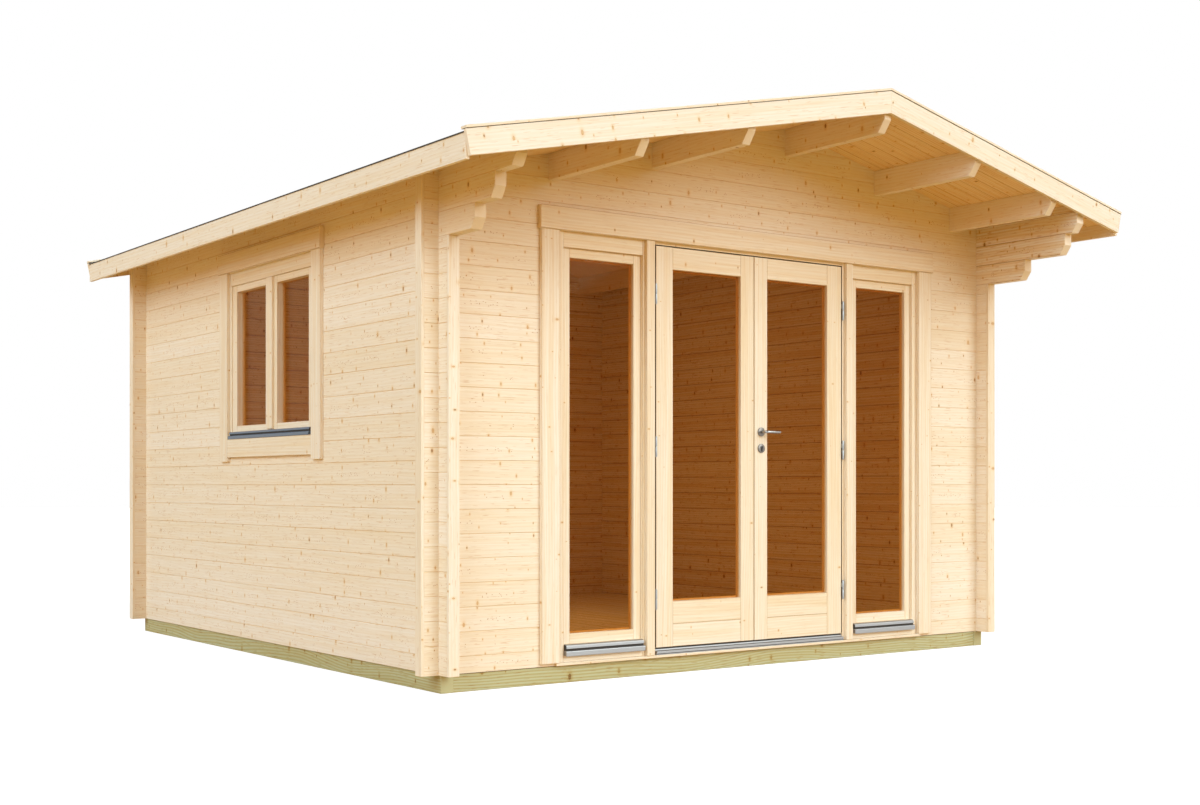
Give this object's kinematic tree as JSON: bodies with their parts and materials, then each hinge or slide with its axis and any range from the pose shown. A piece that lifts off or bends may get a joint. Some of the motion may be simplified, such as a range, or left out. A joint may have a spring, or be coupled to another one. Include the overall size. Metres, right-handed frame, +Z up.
{
  "type": "garden chalet",
  "caption": "Log garden chalet on a timber beam frame, with a glazed double door between side lights, a side window, stepped corbels and a shallow purlin roof.",
  "frame": {"origin": "on the ground, under the middle of the roof's outline seen from above", "axes": "+X to the right seen from the front, +Y from the front wall to the back wall, +Z up; the doors are in the wall that faces -Y"},
  "size_m": [4.382, 4.813, 2.96],
  "materials": {
    "spruce": "planed, untreated",
    "spruce_boards": "planed tongue and groove boards",
    "spruce_trim": "planed, untreated",
    "joinery": "smooth planed joinery",
    "treated_timber": "pressure treated, pale green",
    "insulation": "rigid insulation board, hidden",
    "roofing_felt": "mineral felt, matte",
    "glass": "clear",
    "aluminium": "satin anodised",
    "steel": "brushed"
  },
  "bodies": {
    "chalet": {"foundation_side_beams": "treated_timber", "foundation_end_beams": "treated_timber", "floor_bearers": "treated_timber", "floor_boards": "spruce_boards", "left_wall": "spruce", "right_wall": "spruce", "back_wall": "spruce", "front_wall_left": "spruce", "front_wall_right": "spruce", "front_gable": "spruce", "corner_boards": "spruce_trim", "ridge_purlin": "spruce_trim", "left_purlins": "spruce_trim", "right_purlins": "spruce_trim", "left_roof_boards": "spruce_boards", "right_roof_boards": "spruce_boards", "roof_insulation": "insulation", "roofing_felt": "roofing_felt", "eave_fascias": "spruce_trim", "left_bargeboards": "spruce_trim", "right_bargeboards": "spruce_trim", "barge_caps": "spruce_trim", "door_frame": "joinery", "door_threshold": "aluminium", "front_sill": "joinery", "front_head_casing": "spruce_trim", "front_side_casings": "spruce_trim", "side_light_sashes": "joinery", "fixed_glass": "glass", "drip_profiles": "aluminium", "window_frame": "joinery", "window_sashes": "joinery", "window_head_casing": "spruce_trim", "window_side_casings": "spruce_trim", "window_board": "spruce_trim", "window_cover_strip": "spruce_trim", "frame_hinges": "steel"},
    "left_leaf": {"left_door_leaf": "joinery", "left_door_glass": "glass", "left_leaf_hinges": "steel"},
    "right_leaf": {"right_door_leaf": "joinery", "right_door_glass": "glass", "right_leaf_hinges": "steel", "door_rosettes": "steel"},
    "lever": {"lever_handle": "steel"}
  },
  "joints": [
    {"name": "left_leaf_hinge", "type": "hinge", "parent": "chalet", "child": "left_leaf", "pos_m": [-0.617, -1.6555, 1.157], "axis": [0, 0, -1], "range_deg": [0, 105]},
    {"name": "right_leaf_hinge", "type": "hinge", "parent": "chalet", "child": "right_leaf", "pos_m": [0.707, -1.6555, 1.157], "axis": [0, 0, 1], "range_deg": [0, 105]},
    {"name": "lever_pivot", "type": "hinge", "parent": "right_leaf", "child": "lever", "pos_m": [0.1015, -1.6255, 1.246], "axis": [0, 1, 0], "range_deg": [0, 38], "stiffness_Nm_per_rad": 1.2, "springref_deg": -20.05}
  ]
}
